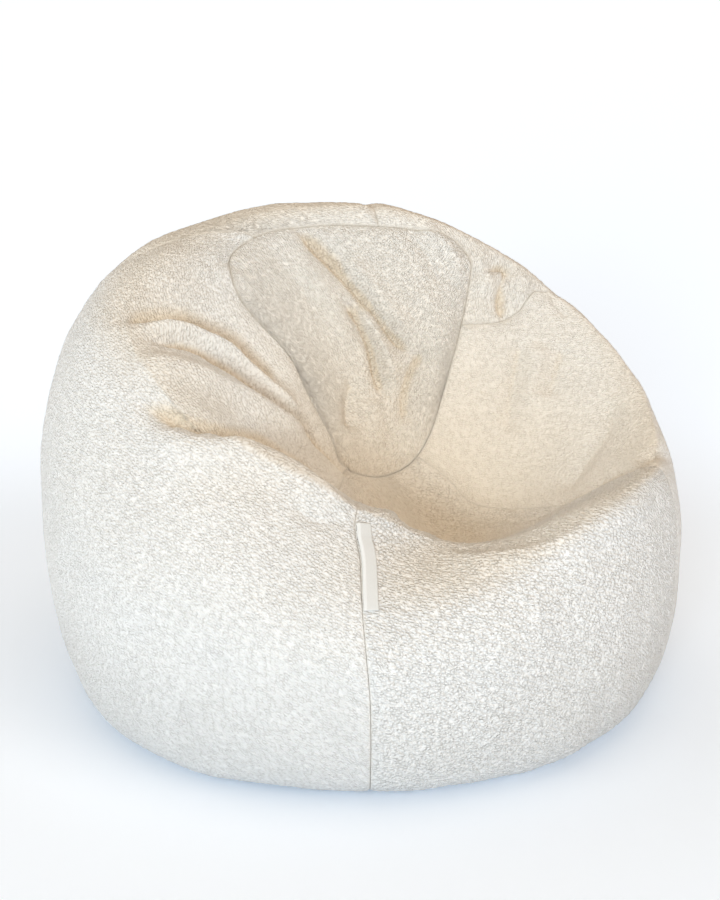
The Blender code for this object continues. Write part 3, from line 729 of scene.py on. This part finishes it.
def side_panel(name):
    """One side panel, between its two seams, the cap seam and the base seam."""
    first, last, coarse, fine = PANELS[name]
    left, right = SEAM_LINES[first], SEAM_LINES[last]
    start, stop = SEAM_STARTS[first], SEAM_STARTS[last] or len(CAP_LINE) - 1
    top = on_form(spaced(CAP_LINE[start:stop + 1], coarse + 1))[0]
    top[0], top[-1] = left[0], right[0]
    bottom = base_line(left[-1], right[-1], coarse + 1)
    grid = fine_grid(relaxed(blended_grid(left, right, top, bottom)), FINE_ROWS, fine)
    return grid_piece(name, grid, (first, "base", last, "cap"))


def cap_piece():
    """The cap: an even grid between four stretches of its seam."""
    ring = CAP_LINE[:-1]
    corners = [nearest_place(ring, point) for point in seen_points(CAP_CORNERS)]
    sides = []
    for k, steps in enumerate(CAP_COARSE[::-1] * 2):
        first, last = corners[k], corners[(k + 1) % 4]
        stretch = np.roll(ring, -first, 0)[:(last - first) % len(ring) + 1]
        sides.append(spaced(stretch, steps + 1))
    left, bottom, right, top = sides[0], sides[1], sides[2][::-1], sides[3][::-1]
    grid = fine_grid(relaxed(blended_grid(left, right, top, bottom)), CAP_FINE[1], CAP_FINE[0])
    return grid_piece("top_cap", grid, ("cap",) * 4)


def base_piece():
    """The base: rings from its seam in, flat on the floor inside the drawn-in edge."""
    ring = BASE_LINE[:-1]
    around = len(ring)
    edge = BASE_EDGE / np.linalg.norm(ring[:, :2], axis=1)
    shares = [1.0 - edge * k / EDGE_RINGS for k in range(EDGE_RINGS + 1)]
    shares += [(1.0 - edge) * (1.0 - k / BASE_RINGS) for k in range(1, BASE_RINGS)]
    grid = np.stack([ring * np.stack((share, share, np.ones(around)), -1) for share in shares])
    rows = len(shares)
    last, middle = (rows - 1) * around, rows * around
    faces = ring_faces(rows, around)
    faces += [(last + k, middle, last + (k + 1) % around) for k in range(around)]
    points = np.concatenate((grid.reshape(-1, 3), [(0.0, 0.0, 0.0)]))
    loop = list(range(around))[::-1]
    places = yarn_places(points[:, 0], points[:, 1], "base_panel")
    return panel_piece("base_panel", points, places, faces, loop, seam_looks(("base",), (around,)), middle)


def feed(tree, made, inputs):
    """Gives a node a value or a link for each named or numbered input."""
    for key, value in dict(inputs).items():
        if isinstance(value, bpy.types.NodeSocket):
            tree.links.new(value, made.inputs[key])
        else:
            made.inputs[key].default_value = value


def node(tree, kind, settings=(), inputs=()):
    made = tree.nodes.new(kind)
    for key, value in dict(settings).items():
        setattr(made, key, value)
    feed(tree, made, inputs)
    return made


def sums(tree, operation, *values):
    """A Math node's result."""
    return node(tree, "ShaderNodeMath", {"operation": operation}, dict(enumerate(values))).outputs[0]


def along(tree, operation, *values):
    """A Vector Math node's result. The last value of a scaling is its factor."""
    inputs = dict(enumerate(values))
    if operation == "SCALE":
        inputs = {0: values[0], "Scale": values[1]}
    return node(tree, "ShaderNodeVectorMath", {"operation": operation}, inputs).outputs[0]


def ranged(tree, value, low, high, new_low, new_high):
    inputs = {"Value": value, "From Min": low, "From Max": high, "To Min": new_low, "To Max": new_high}
    return node(tree, "ShaderNodeMapRange", {"interpolation_type": "SMOOTHSTEP"}, inputs).outputs["Result"]


def noise(tree, place, scale, detail, **more):
    """A Noise Texture's outputs: its value and its colour."""
    inputs = {"Vector": place, "Scale": scale, "Detail": detail, **more}
    return node(tree, "ShaderNodeTexNoise", inputs=inputs).outputs


def strayed(tree, start, bends, reach):
    """Places moved from their start by a noise's colour, up to half the reach each way."""
    shift = along(tree, "SUBTRACT", bends["Color"], (0.5, 0.5, 0.5))
    return along(tree, "ADD", start, along(tree, "SCALE", shift, reach))


# Eased changes, one row each: from which value to which, and what comes out at the two.
NUB_SIDE = (0.10, 0.62, 1.0, 0.0)
NUB_PATCHES = (0.30, 0.70, 0.55, 1.25)
CURL_GAP = (0.0, 0.20, 1.0, 0.0)
OPEN_GAP = (0.38, 0.60, 0.15, 1.0)
FIBRE_SHADE = (0.30, 0.52, 0.26, 0.0)
WARM_DARK = (0.0, 1.0, 1.0, 0.8)
BROAD_TONE = (0.35, 0.70, 0.98, 1.01)
FOOT_SHADE = (0.0, 0.26, 0.84, 1.0)
TAPE_HEM = (0.0042, 0.0050, 1.0, 0.0)
TAPE_WEAVE = (-1.0, 1.0, 0.0, 1.0)


def shape_tree(name, numbers):
    """A Geometry Nodes tree with geometry in and out, named number inputs and a material input."""
    tree = bpy.data.node_groups.new(name, "GeometryNodeTree")
    tree.interface.new_socket("Geometry", in_out="INPUT", socket_type="NodeSocketGeometry")
    for key, value in numbers.items():
        tree.interface.new_socket(key, in_out="INPUT", socket_type="NodeSocketFloat").default_value = value
    tree.interface.new_socket("Finish", in_out="INPUT", socket_type="NodeSocketMaterial")
    tree.interface.new_socket("Geometry", in_out="OUTPUT", socket_type="NodeSocketGeometry")
    given = tree.nodes.new("NodeGroupInput").outputs
    return tree, given


def shape_end(tree, geometry, finish):
    joined = node(tree, "GeometryNodeRealizeInstances", inputs={"Geometry": geometry})
    coloured = node(tree, "GeometryNodeSetMaterial",
                    inputs={"Geometry": joined.outputs[0], "Material": finish})
    result = tree.nodes.new("NodeGroupOutput")
    tree.links.new(coloured.outputs[0], result.inputs[0])


def nub_tree():
    """Raises the cloth's boucle nubs."""
    numbers = {"Nub Size": NUB_SIZE, "Nub Height": NUB_HEIGHT, "Wander": NUB_WANDER}
    tree, given = shape_tree("boucle nubs", numbers)
    place = node(tree, "GeometryNodeInputPosition").outputs[0]
    bends = noise(tree, place, 1.0 / (NUB_BEND * NUB_SIZE), 1.0)
    cells = node(tree, "ShaderNodeTexVoronoi", {"feature": "SMOOTH_F1"},
                 {"Vector": strayed(tree, place, bends, given["Wander"]),
                  "Scale": sums(tree, "DIVIDE", 1.0, given["Nub Size"]),
                  "Smoothness": NUB_SOFTNESS, "Randomness": 1.0})
    nub = ranged(tree, cells.outputs["Distance"], *NUB_SIDE)
    height = ranged(tree, noise(tree, place, 1.0 / NUB_PATCH, 2.0)[0], *NUB_PATCHES)
    nap = node(tree, "GeometryNodeInputNamedAttribute", {"data_type": "FLOAT"}, {"Name": "nap"}).outputs[0]
    lift = sums(tree, "MULTIPLY", sums(tree, "SUBTRACT", nub, NUB_LEVEL), given["Nub Height"])
    lift = sums(tree, "MULTIPLY", sums(tree, "MULTIPLY", lift, height), nap)
    offset = along(tree, "SCALE", node(tree, "GeometryNodeInputNormal").outputs[0], lift)
    raised = node(tree, "GeometryNodeSetPosition", inputs={"Geometry": given["Geometry"], "Offset": offset})
    shape_end(tree, raised.outputs[0], given["Finish"])
    return tree


def thread_tree():
    """Short threads across a seam, evenly along it."""
    numbers = {"Stitch Pitch": STITCH_PITCH, "Stitch Length": STITCH_LENGTH, "Thread Radius": THREAD_RADIUS}
    tree, given = shape_tree("seam thread", numbers)
    line = node(tree, "GeometryNodeMeshToCurve", inputs={0: given["Geometry"]})
    steps = node(tree, "GeometryNodeResampleCurve", {"mode": "LENGTH"},
                 {"Curve": line.outputs[0], "Length": given["Stitch Pitch"]})
    points = node(tree, "GeometryNodeCurveToPoints", {"mode": "EVALUATED"}, {"Curve": steps.outputs[0]})
    across = node(tree, "GeometryNodeInputNamedAttribute", {"data_type": "FLOAT_VECTOR"}, {"Name": "across"})
    turned = node(tree, "FunctionNodeAlignRotationToVector", {"axis": "Z"}, {"Vector": across.outputs[0]})
    thread = node(tree, "GeometryNodeMeshCylinder", {"fill_type": "TRIANGLE_FAN"},
                  {"Vertices": 6, "Side Segments": 1, "Radius": given["Thread Radius"],
                   "Depth": given["Stitch Length"]})
    threads = node(tree, "GeometryNodeInstanceOnPoints",
                   inputs={"Points": points.outputs[0], "Instance": thread.outputs[0],
                           "Rotation": turned.outputs[0]})
    shape_end(tree, threads.outputs[0], given["Finish"])
    return tree


def shaped(piece, tree, given):
    """Runs a tree with the given inputs on a piece, and leaves its result as the piece's plain mesh."""
    step = piece.modifiers.new(tree.name, "NODES")
    step.node_group = tree
    for item in tree.interface.items_tree:
        if item.item_type == "SOCKET" and item.in_out == "INPUT" and item.name in given:
            step[item.identifier] = given[item.name]
    depsgraph = bpy.context.evaluated_depsgraph_get()
    mesh = bpy.data.meshes.new_from_object(piece.evaluated_get(depsgraph))
    mesh.name = piece.name
    piece.modifiers.remove(step)
    piece.data = mesh
    heights = np.empty(len(mesh.vertices) * 3, np.float32)
    mesh.vertices.foreach_get("co", heights)
    heights[2::3] = np.maximum(heights[2::3], 0.0)
    mesh.vertices.foreach_set("co", heights)
    mesh.update()
    return piece


def thread_line(line, look):
    """A seam line laid at the thread's depth, with the direction across it at each point."""
    near, out, _ = on_form(spaced(line, max(4, int(line_length(line) / STITCH_PITCH))))
    lift = fold_lift(near) - look[0] - look[2] - THREAD_DEPTH
    points = near + out * lift[:, None]
    return points, unit(np.cross(out, np.gradient(points, axis=0)))


def seam_threads(tree, finish):
    """All the threads that show in the cap's seam and the side seams, as one piece."""
    points, across, edges = [], [], []
    for name, line in {"cap": CAP_LINE, **SEAM_LINES}.items():
        places, ways = thread_line(line, SEAM_LOOKS[name])
        first = sum(len(p) for p in points)
        edges += [(first + k, first + k + 1) for k in range(len(places) - 1)]
        points.append(places)
        across.append(ways)
    mesh = bpy.data.meshes.new("seam_threads")
    mesh.from_pydata(np.concatenate(points).tolist(), edges, [])
    keep_values(mesh, {"across": np.concatenate(across)})
    return shaped(placed("seam_threads", mesh), tree, {"Finish": finish})


def side_tape(panel, finish):
    """The bare tape: one long edge along the front seam, and its folded edge rounded."""
    cloth = BVHTree.FromPolygons([v.co[:] for v in panel.data.vertices],
                                 [face.vertices[:] for face in panel.data.polygons])
    seam = SEAM_LINES["front"]
    first, last = (nearest_place(seam, point) for point in seen_points(LABEL_ENDS))
    line = spaced(seam[first:last + 1], LABEL_STATIONS)
    side = unit(np.cross(on_form(line)[1], np.gradient(line, axis=0)))
    shares = np.linspace(0.0, 1.0, LABEL_COLUMNS)[:, None, None]
    near, out, _ = on_form(line[None] + side[None] * (LABEL_INSET + shares * LABEL_WIDTH))
    lift = np.empty(near.shape[:2])
    for place in np.ndindex(lift.shape):
        start = near[place] + out[place] * LABEL_REACH
        lift[place] = LABEL_REACH - cloth.ray_cast(Vector(start), Vector(-out[place]))[3]
    half = LABEL_EASE // 2
    highest = np.pad(lift[2:].max(0), half, mode="edge")
    level = np.max([highest[k:k + LABEL_STATIONS] for k in range(LABEL_EASE)], axis=0)
    level = np.convolve(np.pad(level, half, mode="edge"), np.full(LABEL_EASE, 1.0 / LABEL_EASE), "valid")
    rise = eased(shares[:, 0] / LABEL_RISE)
    lift = lift.min() * (1.0 - rise) * 0.5 + np.maximum(level * rise, 0.0) + level * (1.0 - rise) * 0.5
    under = near + out * (lift + LABEL_CLEAR)[..., None]
    folded = np.clip(shares[:, 0] - (1.0 - LABEL_FOLD), 0.0, 1.0) / LABEL_FOLD
    edge_round = np.sqrt(np.clip(1.0 - folded ** 2, 0.0, 1.0))
    thick = LABEL_THICK * (LABEL_EDGE_THICK + (1.0 - LABEL_EDGE_THICK) * edge_round)
    over = under + out * thick[..., None]
    count = LABEL_COLUMNS * LABEL_STATIONS
    sheet = grid_faces(LABEL_COLUMNS, LABEL_STATIONS)
    faces = sheet + [tuple(count + k for k in face[::-1]) for face in sheet]
    loop = grid_border(LABEL_COLUMNS, LABEL_STATIONS)
    faces += [(loop[k], loop[k - 1], count + loop[k - 1], count + loop[k]) for k in range(len(loop))]
    points = np.concatenate((under.reshape(-1, 3), over.reshape(-1, 3)))
    warp = np.tile(np.repeat(np.linspace(0.0, LABEL_WIDTH, LABEL_COLUMNS), LABEL_STATIONS), 2)
    weft = np.tile(np.linspace(0.0, line_length(line), LABEL_STATIONS), LABEL_COLUMNS * 2)
    piece = cloth_object("side_tape", points, faces, {"weft": weft, "warp": warp})
    piece.data.materials.append(finish)
    return piece, line_length(line)


def attribute(tree, name):
    return node(tree, "ShaderNodeAttribute", {"attribute_name": name}).outputs["Fac"]


def blend_colour(tree, share, first, second):
    inputs = {"Factor": share, 6: first, 7: second}
    return node(tree, "ShaderNodeMix", {"data_type": "RGBA"}, inputs).outputs[2]


def new_finish(name, values):
    """A material with its Principled shader's values. Also its tree and that shader."""
    finish = bpy.data.materials.new(name)
    finish.use_nodes = True
    surface = finish.node_tree.nodes["Principled BSDF"]
    feed(finish.node_tree, surface, values)
    return finish, finish.node_tree, surface


def bump(tree, strength, distance, height, **more):
    inputs = {"Strength": strength, "Distance": distance, "Height": height, **more}
    return node(tree, "ShaderNodeBump", inputs=inputs).outputs[0]


# The wool: the tops of the curls, the gaps between them with painted shade, the same two in painted warm
# shade, and the painted shade beside a seam.
WOOL_TOP = (0.90, 0.895, 0.885, 1.0)
WOOL_GAP_SHADE = (0.70, 0.68, 0.645, 1.0)
WOOL_WARM_SHADE = (0.845, 0.748, 0.615, 1.0)
WOOL_WARM_SHADE_GAP = (0.64, 0.53, 0.39, 1.0)
WOOL_SEAM_SHADE = (0.60, 0.55, 0.48, 1.0)
# The curls of the yarn: their size, how softly they meet and how unevenly they lie. Then the bends of their
# rows: the scale as a share of the curls', and the reach in curls.
CURL_SIZE = 0.0043
CURL_SOFTNESS = 0.30
CURL_UNEVEN = 0.75
BEND_SCALE = 0.35
BEND_REACH = 1.2
FIBRE_SIZE = 0.0015
# How dark the painted shade in a gap is and how deep a gap is, and the sizes of the patches with open gaps
# and with other tones.
CURL_GAP_SHADE = 0.68
GAP_DEPTH = 0.5
GAP_PATCH = 0.005
TONE_PATCH = 0.16
# The strength and the height of each fine relief.
CURL_BUMP = (1.0, 0.0017)
FIBRE_BUMP = (0.8, 0.0006)
TAPE_BUMP = (0.6, 0.0004)


def wool_finish():
    """Ivory boucle: rows of curled yarn nubs, with painted shade in the gaps between them, by the seams and
    near the floor, and painted warm shade in the hollow, in folds, where it faces up and on inner sides.
    """
    finish, tree, surface = new_finish("boucle wool", {"Roughness": 0.92, "Sheen Weight": 0.15,
                                                       "Sheen Roughness": 0.6, "Specular IOR Level": 0.2})
    place = node(tree, "ShaderNodeTexCoord").outputs["Object"]
    yarn = node(tree, "ShaderNodeAttribute", {"attribute_name": "yarn"}).outputs["Vector"]
    nap, warm_shade = attribute(tree, "nap"), attribute(tree, "warm_shade")
    bends = noise(tree, place, BEND_SCALE / CURL_SIZE, 3.0)
    rows = {"Vector": strayed(tree, yarn, bends, BEND_REACH * CURL_SIZE), "Scale": 1.0 / CURL_SIZE,
            "Randomness": CURL_UNEVEN}
    curls = node(tree, "ShaderNodeTexVoronoi", {"feature": "SMOOTH_F1", "voronoi_dimensions": "2D"},
                 {**rows, "Smoothness": CURL_SOFTNESS})
    curl = ranged(tree, curls.outputs["Distance"], *NUB_SIDE)
    rims = node(tree, "ShaderNodeTexVoronoi", {"feature": "DISTANCE_TO_EDGE", "voronoi_dimensions": "2D"},
                rows)
    gaps = ranged(tree, rims.outputs["Distance"], *CURL_GAP)
    gaps = sums(tree, "MULTIPLY", gaps, ranged(tree, noise(tree, place, 1.0 / GAP_PATCH, 1.0)[0], *OPEN_GAP))
    fibres = noise(tree, place, 1.0 / FIBRE_SIZE, 3.0, Roughness=0.6, Distortion=1.5)[0]
    # Painted shade in the gaps between the curls and in the fibres' low spots, less of it where the painted
    # warm shade is.
    nub_shade = sums(tree, "ADD", sums(tree, "MULTIPLY", gaps, CURL_GAP_SHADE), ranged(tree, fibres, *FIBRE_SHADE))
    nub_shade = sums(tree, "MULTIPLY", nub_shade, ranged(tree, warm_shade, *WARM_DARK))
    # Painted warm shade mixes in the warmer colours of the curls and of their gaps.
    colour = blend_colour(tree, nub_shade, blend_colour(tree, warm_shade, WOOL_TOP, WOOL_WARM_SHADE),
                          blend_colour(tree, warm_shade, WOOL_GAP_SHADE, WOOL_WARM_SHADE_GAP))
    # Painted shade beside the seams.
    colour = blend_colour(tree, attribute(tree, "beside"), colour, WOOL_SEAM_SHADE)
    # Random tone in broad patches, and painted shade: darker towards the floor.
    height = node(tree, "ShaderNodeSeparateXYZ", inputs={0: place}).outputs[2]
    tone_and_foot_shade = sums(tree, "MULTIPLY", ranged(tree, noise(tree, place, 1.0 / TONE_PATCH, 2.0)[0], *BROAD_TONE),
                ranged(tree, height, *FOOT_SHADE))
    toned = node(tree, "ShaderNodeHueSaturation", inputs={"Value": tone_and_foot_shade, "Color": colour})
    raised = sums(tree, "SUBTRACT", curl, sums(tree, "MULTIPLY", gaps, GAP_DEPTH))
    relief = bump(tree, *CURL_BUMP, sums(tree, "MULTIPLY", raised, nap))
    relief = bump(tree, *FIBRE_BUMP, fibres, Normal=relief)
    feed(tree, surface, {"Base Color": toned.outputs[0], "Normal": relief})
    return finish


THREAD_DARK = (0.52, 0.47, 0.40, 1.0)
THREAD_LIGHT = (0.66, 0.61, 0.53, 1.0)
THREAD_TWIST = 0.0009


def thread_finish():
    finish, tree, surface = new_finish("ivory thread", {"Roughness": 0.8})
    place = node(tree, "ShaderNodeTexCoord").outputs["Object"]
    twist = noise(tree, place, 1.0 / THREAD_TWIST, 2.0)[0]
    feed(tree, surface, {"Base Color": blend_colour(tree, twist, THREAD_DARK, THREAD_LIGHT)})
    return finish


TAPE_DARK = (0.66, 0.66, 0.645, 1.0)
TAPE_LIGHT = (0.77, 0.77, 0.76, 1.0)
TAPE_HEM_COLOUR = (0.79, 0.79, 0.78, 1.0)
# From one rib to the next, from one cord to the next, and how high these are beside the hem.
RIB_PITCH = 0.0011
CORD_PITCH = 0.0013
WEAVE_HEIGHT = 0.4


def tape_finish():
    """Plain woven tape: fine ribs across it and a denser hem along the seam side."""
    finish, tree, surface = new_finish("woven tape", {"Roughness": 0.75, "Sheen Weight": 0.2})
    weft, warp = attribute(tree, "weft"), attribute(tree, "warp")
    ribs, cords = (sums(tree, "SINE", sums(tree, "MULTIPLY", way, 2.0 * math.pi / pitch))
                   for way, pitch in ((weft, RIB_PITCH), (warp, CORD_PITCH)))
    weave = sums(tree, "MULTIPLY", ribs, cords)
    hem = ranged(tree, warp, *TAPE_HEM)
    colour = blend_colour(tree, ranged(tree, weave, *TAPE_WEAVE), TAPE_DARK, TAPE_LIGHT)
    colour = blend_colour(tree, hem, colour, TAPE_HEM_COLOUR)
    height = sums(tree, "ADD", sums(tree, "MULTIPLY", weave, WEAVE_HEIGHT), hem)
    feed(tree, surface, {"Base Color": colour, "Normal": bump(tree, *TAPE_BUMP, height)})
    return finish


FLOOR_HALF = 12.0
FLOOR_COLOUR = (0.86, 0.905, 0.965, 1.0)
# The floor's painted glow: its colour, and its strength near the bag and away from it, between two distances.
# It is weaker near the bag as painted shade around it.
FLOOR_LIGHT = (0.58, 0.76, 1.0, 1.0)
FLOOR_GLOW = (0.18, 0.40)
GLOW_REACH = (0.45, 1.5)


def studio_floor():
    """A plain white floor with a painted glow, weaker near the bag as painted shade around it."""
    finish, tree, surface = new_finish("pale floor", {"Base Color": FLOOR_COLOUR, "Roughness": 0.9,
                                                      "Emission Color": FLOOR_LIGHT})
    place = node(tree, "ShaderNodeTexCoord").outputs["Object"]
    away = node(tree, "ShaderNodeVectorMath", {"operation": "LENGTH"}, {0: place}).outputs["Value"]
    # Painted glow, weaker near the bag as painted shade around it.
    feed(tree, surface, {"Emission Strength": ranged(tree, away, *GLOW_REACH, *FLOOR_GLOW)})
    mesh = bpy.data.meshes.new("floor")
    corners = [(x * FLOOR_HALF, y * FLOOR_HALF, 0.0) for x, y in ((-1, -1), (1, -1), (1, 1), (-1, 1))]
    mesh.from_pydata(corners, [], [(0, 1, 2, 3)])
    mesh.materials.append(finish)
    floor = placed("floor", mesh)


SKY_GLOW = 0.41
SKY_COLOUR = (1.0, 0.82, 0.62, 1.0)
# Wide soft lights. Columns: turn from the front, height and width in degrees, strength, colour.
LIGHTS = {
    "key": (-14.0, 13.0, 16.0, 1.68, (0.825, 0.935, 1.0)),
    "left": (-68.0, 10.0, 25.0, 0.55, (0.84, 0.95, 1.0)),
    "right": (58.0, 20.0, 36.0, 0.79, (1.0, 0.96, 0.92)),
    "top": (30.0, 82.0, 40.0, 0.66, (1.0, 0.92, 0.83)),
    "back": (-130.0, 50.0, 50.0, 0.30, (1.0, 0.96, 0.90)),
}


def lit():
    for name, (turn, rise, width, power, colour) in LIGHTS.items():
        light = bpy.data.lights.new(name, "SUN")
        light.angle = math.radians(width)
        light.energy = power
        light.color = colour
        turn, rise = math.radians(turn), math.radians(rise)
        way = Vector((math.sin(turn) * math.cos(rise), -math.cos(turn) * math.cos(rise), math.sin(rise)))
        placed(name, light).rotation_euler = way.to_track_quat("Z", "Y").to_euler()
    world = bpy.data.worlds.new("studio")
    world.use_nodes = True
    around = world.node_tree.nodes["Background"]
    feed(world.node_tree, around, {"Color": SKY_COLOUR, "Strength": SKY_GLOW})
    bpy.context.scene.world = world
    bpy.context.scene.view_settings.view_transform = "Standard"


def camera():
    made = placed("camera", bpy.data.cameras.new("camera"))
    made.data.lens = EYE_LENS
    made.location = eye_place()
    made.rotation_euler = (math.pi / 2 - EYE_ANGLE, 0.0, 0.0)
    bpy.context.scene.camera = made


def dress_bag():
    """All the bag's pieces, each over the solid that it stands for."""
    wool, thread, tape = wool_finish(), thread_finish(), tape_finish()
    nubs, threads = nub_tree(), thread_tree()
    panels = {name: side_panel(name) for name in PANELS}
    panels["top_cap"] = cap_piece()
    panels["base_panel"] = base_piece()
    for name, piece in panels.items():
        shaped(piece, nubs, {"Nub Size": NUB_SIZE * YARNS[name][0], "Nub Height": NUB_HEIGHT,
                             "Wander": NUB_WANDER, "Finish": wool})
        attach(piece, "root")
        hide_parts(name)
    sewing = seam_threads(threads, thread)
    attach(sewing, "root")
    label, length = side_tape(panels["front_right_panel"], tape)
    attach(label, "root")
    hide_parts("side_label")


camera()
dress_bag()
studio_floor()
lit()
